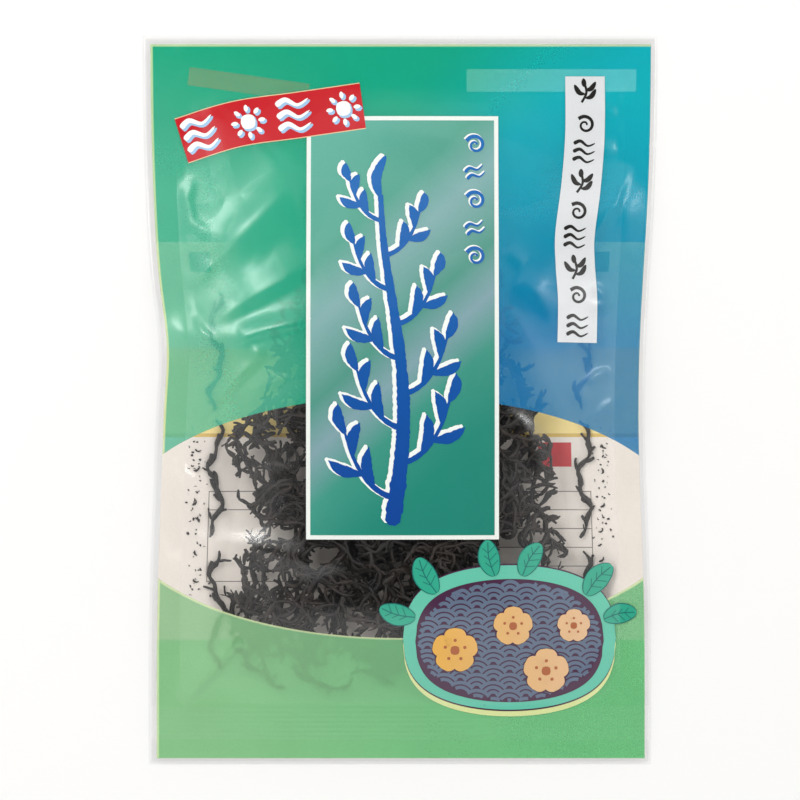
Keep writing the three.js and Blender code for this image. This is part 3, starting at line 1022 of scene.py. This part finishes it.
def branchlets(rng, path, radii, spacing, length):
    """Short curved side shoots that leave a strand on both sides, as the plant grows them."""
    shoots = []
    for i in range(2, len(path) - 2, spacing):
        if rng.random() < 0.25:
            continue
        x, y, z = path[i]
        along_strand = math.atan2(path[i + 1][1] - path[i - 1][1], path[i + 1][0] - path[i - 1][0])
        side = rng.choice((-1, 1))
        heading = along_strand + side * rng.uniform(0.5, 1.2)
        bend, climb = side * rng.uniform(-0.35, 0.1), rng.uniform(-0.22, 0.22)
        count = max(3, round(rng.uniform(0.4, 1.2) * length / STRAND_STEP) + 1)
        shoot, shoot_radii = [], []
        for k in range(count):
            shoot.append((x, y, z))
            shoot_radii.append(radii[i] * (0.85 - 0.35 * k / (count - 1)) * (1 + rng.uniform(-0.15, 0.15)))
            heading += bend
            x, y = step_on(x, y, heading)
            z += STRAND_STEP * climb
        shoots.append((held_between(shoot, radii[i]), shoot_radii))
    return shoots


def held_between(path, radius):
    """The path kept between the two films."""
    held = []
    for x, y, z in path:
        low, high = room(x, y, radius)
        held.append((x, y, clamp(z, low, high) if low < high else (low + high) / 2))
    return held


def heap_layer(name, node_name, layer, seed, material):
    rng = random.Random(seed)

    def inside(x, y, edge=0.0):
        left, right = side_at(HEAP_LEFT, y) + edge, side_at(HEAP_RIGHT, y) - edge
        in_hole = noise.noise(Vector((x / HOLE_PITCH, y / HOLE_PITCH, 5.5))) > HOLE_FROM
        if in_hole or not (HEAP_FOOT < y < HEAP_TOP and left < x < right):
            return False
        low, high = room(x, y, STRAND_RADIUS)
        return low <= layer_height(x, y) <= high

    def layer_height(x, y):
        return (front_at(x, y) + back_at(x, y)) / 2 + (layer - (LAYERS - 1) / 2) * LAYER_PITCH

    strands = []
    for row in stepped((HEAP_FOOT, HEAP_TOP), (STRAND_PITCH,)):
        for column in stepped((-HEAP_HALF_WIDTH, HEAP_HALF_WIDTH), (STRAND_PITCH,)):
            x = column + rng.uniform(-0.5, 0.5) * STRAND_PITCH
            y = row + rng.uniform(-0.5, 0.5) * STRAND_PITCH
            if not inside(x, y, RAGGED_EDGE * rng.random()):
                continue
            sway, phase = rng.uniform(0.3, 0.48) * LAYER_PITCH, rng.uniform(0, 6)
            path = wandering(
                rng, x, y, rng.uniform(0, math.tau), rng.uniform(*STRAND_LENGTHS),
                lambda a, b, i: layer_height(a, b) + sway * math.sin(0.3 * i + phase), inside)
            if len(path) < 5:
                continue
            radii = strand_radii(rng, len(path), STRAND_RADIUS * rng.uniform(0.7, 1.2))
            path = held_between(path, STRAND_RADIUS)
            strands += [(path, radii), *branchlets(rng, path, radii, 3, 3.2)]
    piece = finished(name, tubes(strands), material)
    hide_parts(node_name)


def node_box(node_name):
    """Lowest and highest corner of a node of the solid model, in millimetres."""
    return [[value / MM for value in corner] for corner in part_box(node_name)]


def curl(name, node_name, seed, material):
    """A loose strand that lies beside the heap, along the strand of the solid model."""
    rng = random.Random(seed)
    low, high = node_box(node_name)
    x, z = (low[0] + high[0]) / 2, (low[2] + high[2]) / 2
    count = round((high[1] - low[1]) / STRAND_STEP)
    phase = rng.uniform(0, 6)
    path = []
    for i in range(count + 1):
        sway = 1.9 * math.sin(0.31 * i + phase) + 0.7 * math.sin(0.83 * i)
        path.append((x + sway, low[1] + (high[1] - low[1]) * i / count, z))
    radii = strand_radii(rng, len(path), 1.1 * STRAND_RADIUS)
    path = held_between(path, STRAND_RADIUS)
    strands = [(path, radii), *branchlets(rng, path, radii, 3, 3.6)]
    piece = finished(name, tubes(strands), material)
    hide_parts(node_name)


def crumbs(name, node_name, seed, material):
    """Broken weed on the back film: one bent bit, and a sprinkle of specks round it."""
    rng = random.Random(seed)
    low, high = node_box(node_name)
    x, y = [(a + b) / 2 for a, b in zip(low, high)][:2]
    bits = [(x, y, 0.5 * STRAND_RADIUS, 1.1)]
    bits += [(x + rng.gauss(0, 1.6), y + rng.gauss(0, 5), rng.uniform(0.12, 0.3), rng.uniform(0.2, 0.55))
             for _ in range(SPECKS)]
    strands = []
    for bit_x, bit_y, radius, reach in bits:
        heading = rng.uniform(0, math.tau)
        path = []
        for t in (-1, -0.3, 0.3, 1):
            bent = heading + 0.5 * t
            a, b = bit_x + reach * t * math.cos(bent), bit_y + reach * t * math.sin(bent)
            path.append((a, b, back_at(a, b) + radius))
        strands.append((path, [radius * share * rng.uniform(0.8, 1.2) for share in (0.5, 1, 0.9, 0.5)]))
    piece = finished(name, tubes(strands), material)
    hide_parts(node_name)


# Camera, light and floor

def softbox(name, place, watts, levels):
    """A large softbox that faces the packet, with no hard edge to its reflection in the film."""
    light = bpy.data.lights.new(name, "AREA")
    light.shape = "RECTANGLE"
    light.size, light.size_y = [side * MM for side in SOFTBOX_SIZE]
    light.energy = watts
    light.use_nodes = True
    tree = light.node_tree
    tree.nodes.clear()
    across = node(tree, "NewGeometry", {}).outputs["Parametric"]
    away = node(tree, "VectorMath", {"operation": "DISTANCE"}, across, (0.5, 0.5, 0)).outputs["Value"]
    glow = node(tree, "MapRange", SMOOTHLY, away, 0, 0.5, levels[0], 0)
    core = node(tree, "MapRange", SMOOTHLY, away, 0, SOFTBOX_CORE, levels[1], 0)
    level = node(tree, "Math", {"operation": "ADD"}, glow, core)
    node(tree, "OutputLight", {}, node(tree, "Emission", {}, Strength=level))
    lamp = bpy.data.objects.new(name, light)
    lamp.location = Vector(place) * MM
    lamp.rotation_euler = Vector(place).to_track_quat("Z", "Y").to_euler()
    bpy.context.scene.collection.objects.link(lamp)


def set_camera():
    camera = bpy.data.cameras.new("camera")
    camera.sensor_width = SENSOR
    camera.lens = SENSOR * CAMERA_HEIGHT / (PICTURE_PX * PX * MM)
    eye = bpy.data.objects.new("camera", camera)
    eye.location = (0, 0, CAMERA_HEIGHT)
    bpy.context.scene.collection.objects.link(eye)
    bpy.context.scene.camera = eye


def light_room():
    world = bpy.data.worlds.new("studio")
    world.use_nodes = True
    tree = world.node_tree
    tree.nodes.clear()
    upward = node(tree, "SeparateXYZ", {}, node(tree, "TexCoord", {}).outputs["Generated"]).outputs["Z"]
    level = node(tree, "MapRange", SMOOTHLY, upward, DIM_TO, DIM_FROM, ROOM_OVERHEAD, ROOM_LIGHT)
    node(tree, "OutputWorld", {}, node(tree, "Background", {}, grey(1), level))
    bpy.context.scene.world = world
    bpy.context.scene.view_settings.view_transform = "Standard"
    softbox("softbox_left", KEY_PLACE, KEY_WATTS, KEY_LEVELS)
    softbox("softbox_right", FILL_PLACE, FILL_WATTS, FILL_LEVELS)


def lay_floor(material):
    bm = bmesh.new()
    bmesh.ops.create_grid(bm, x_segments=40, y_segments=40, size=FLOOR_HALF * MM)
    mesh = bpy.data.meshes.new("floor")
    bm.to_mesh(mesh)
    bm.free()
    floor = bpy.data.objects.new("floor", mesh)
    floor.location.z = -FLOOR_GAP * MM
    bpy.context.scene.collection.objects.link(floor)
    mesh.materials.append(material)


# Print of the front that stands on the film

PANEL = ((402.5, 538), (402.5, 117))
PANEL_WIDTH = 63
PANEL_BORDER = 1.4
# Diagonal bands of the panel's ground: a printed gradient whose pale greyish bands are partly painted sheen
# of the film's gloss
PANEL_BANDS_AND_SHEEN = ((-60, "0F7C6C"), (-25, "1E8472"), (-7, "3A927F"), (6, "7E9FA6"), (18, "4C9281"),
               (37, "7FA9A8"), (52, "539F8A"), (85, "5DAC9A"))
RED_LINE = ((362.8, 106.4), (300, 115.5), (237, 124.7), (181.9, 141.5))
RED_WIDTH = 14.9
WHITE_LINE = ((584.7, 77), (584.5, 135), (580.5, 185), (574, 235), (574.3, 265), (576.6, 300), (576, 343))
WHITE_WIDTH = 13
MEDALLION = (36, -78)
MEDALLION_HALF = (35, 24)
MEDALLION_LEAVES = ((-24, 15, 118, 13), (-31, 7, 165, 12), (-5, 20.5, 102, 12), (4, 20.5, 60, 12),
                    (25, 14, 48, 13), (31, 6, 12, 11))
MEDALLION_BLOSSOMS = ((-18, -4, 7.5), (1, 4, 6.5), (12, -11, 7.5), (21, 4, 5.5))
PETALS = 5
PETAL_TURN = 0.3


def panel():
    foot, head = [px(*point) for point in PANEL]
    trim = PANEL_BORDER
    ground = stroke(((foot[0], foot[1] + trim), (head[0], head[1] - trim)), PANEL_WIDTH - 2 * trim)
    printed("panel_border", [stroke((foot, head), PANEL_WIDTH)], plain_ink("white_ink", "E9EDE6"), 2)
    printed("panel_ground", [ground], graded_ink("banded_ink_and_sheen", PANEL_BANDS_AND_SHEEN, (-0.67, 0.74), -60, 90), 3)


def panel_drawing():
    x, foot = px(392, 524)
    big = frond(x, foot, px(392, 196)[1], width=5.6, sprays=9)
    small = []
    for i in range(5):
        x, y = px(475, 146 + 28 * i)
        small += turned(waves(3.2, 2) if i % 2 else swirl(3.6), x, y, 0.3)
    outline = shifted(big, -1.0, 0.7, 0.35) + shifted(small, -0.35, 0.3, 0.15)
    blue = graded_ink("blue_ink", ((-45, "003E92"), (90, "0A68B2")), (0, 1), -45, 90)
    printed("frond_outline", outline, plain_ink("outline_ink", "EFF3EE"), 4)
    printed("frond", big + small, blue, 5)


def red_strip():
    strip = [stroke([px(*point) for point in RED_LINE], RED_WIDTH)]
    printed("red_strip_edge", shifted(strip, 0, 0, 0.3), plain_ink("strip_edge_ink", "E9C9A0"), 3.5)
    printed("red_strip", strip, plain_ink("red_ink", "C4141F"), 4)
    marks = []
    for i, mark in enumerate((sun(5.8), waves(5.4, 3), sun(5.8), waves(5.4, 3))):
        x, y, angle = along(RED_LINE, 0.13 + 0.245 * i)
        marks += turned(mark, x, y, angle + math.pi)
    printed("red_strip_shadow", shifted(marks, 0.6, -0.6, 0.2), plain_ink("pale_blue_ink", "9FC3E4"), 5)
    printed("red_strip_marks", marks, plain_ink("mark_ink", "FBFAF6"), 6)


def white_strip():
    printed("white_strip", [stroke([px(*point) for point in WHITE_LINE], WHITE_WIDTH)],
            plain_ink("paper_ink", "D8DADB"), 2)
    marks = []
    for i in range(9):
        x, y, angle = along(WHITE_LINE, 0.07 + 0.108 * i)
        mark = (sprig(3.9), swirl(3.4), waves(3.6, 3))[i % 3]
        marks += turned(mark, x, y, angle + math.pi / 2)
    printed("white_strip_marks", marks, plain_ink("black_ink", "1B1916"), 3)


def leaf(x, y, angle, length, width):
    """A pointed leaf from its stalk at x, y: its blade, and its veins."""
    middle = (0.5 * length, 0.06 * length)
    blade = [stroke([(0, 0), middle, (length, 0)], width, leaf_width, FINE_CELL)]
    veins = [stroke([(0, 0), middle, (0.94 * length, 0)], 0.35, step=FINE_CELL)]
    for t in (0.25, 0.45, 0.65):
        for side in (-1, 1):
            tip = ((t + 0.16) * length, side * 0.32 * width)
            veins.append(stroke([(t * length, 0.05 * length), tip], 0.25))
    return turned(blade, x, y, angle), turned(veins, x, y, angle)


def medallion():
    """Waves, blossoms and leaves in an oval, all traditional shapes."""
    x, y = MEDALLION
    half_x, half_y = MEDALLION_HALF
    dark = plain_ink("violet_ink", "452240")
    oval = [stroke([(x - half_x, y), (x + half_x, y)], 2 * half_y, round_width)]
    water = [stroke([(x - half_x + 4, y - 1), (x + half_x - 4, y - 1)], 2 * half_y - 7, round_width)]
    printed("medallion_foot", shifted(oval, 0, -2.2), plain_ink("straw_ink", "D6DE9C"), 1.6)
    printed("medallion_edge", shifted(oval, 0, 0, 0.5), dark, 2.8)
    printed("medallion_rim", oval, plain_ink("rim_ink", "62BFA4"), 4)
    printed("medallion_ground", water, dark, 5)
    printed("medallion_waves", wave_scales(x, y - 1, half_x - 4.6, half_y - 4.1, 5.4, 1.15),
            plain_ink("slate_ink", "5E6C82"), 6)
    blades, veins = [], []
    for dx, dy, angle, length in MEDALLION_LEAVES:
        blade, lines = leaf(x + dx, y + dy, math.radians(angle), length, 0.55 * length)
        blades += blade
        veins += lines
    leaf_line = plain_ink("leaf_line_ink", "1C6F68")
    printed("medallion_leaf_edges", shifted(blades, 0, 0, 0.35), leaf_line, 7)
    printed("medallion_leaves", blades, plain_ink("leaf_ink", "2FA386"), 8)
    printed("medallion_veins", veins, leaf_line, 9)
    flowers, hearts = [], []
    for dx, dy, size in MEDALLION_BLOSSOMS:
        flowers += blossom(x + dx, y + dy, size)
        hearts += [dot(x + dx, y + dy, size * 0.2)]
        hearts += [dot(*place, size * 0.07) for place in petal_places(x + dx, y + dy, 0.45 * size)]
    printed("medallion_flower_edges", shifted(flowers, 0, 0, 0.6), dark, 10)
    printed("medallion_flowers", flowers,
            graded_ink("tan_ink", ((10, "E2A93E"), (60, "DDB58C")), (1, 0), 10, 60), 11)
    printed("medallion_hearts", hearts, plain_ink("heart_ink", "A85A2C"), 12)


set_camera()
light_room()
lay_floor(studio_paper())

front_ink = printed_film("front_film_print", front_print, FRONT_COVER)
back_ink = printed_film("back_film_print", back_print, BACK_COVER)
film("printed_front_film", "front_film", front_top, front_ink)
film("printed_back_film", "back_film", back_top, back_ink)
panel()
panel_drawing()
red_strip()
white_strip()
medallion()

weed = dried_weed()
for layer in range(LAYERS):
    heap_layer(f"hijiki_heap_{layer + 1}", f"hijiki_bunch_{layer + 1}", layer, HEAP_SEED + layer, weed)
for side in ("left", "right"):
    for i in range(1, CURLS + 1):
        curl(f"hijiki_curl_{side}_{i}", f"hijiki_strand_{side}_{i}", f"curl {side} {i}", weed)
    for i in range(1, CRUMBS + 1):
        crumbs(f"hijiki_crumbs_{side}_{i}", f"hijiki_crumb_{side}_{i}", f"crumb {side} {i}", weed)
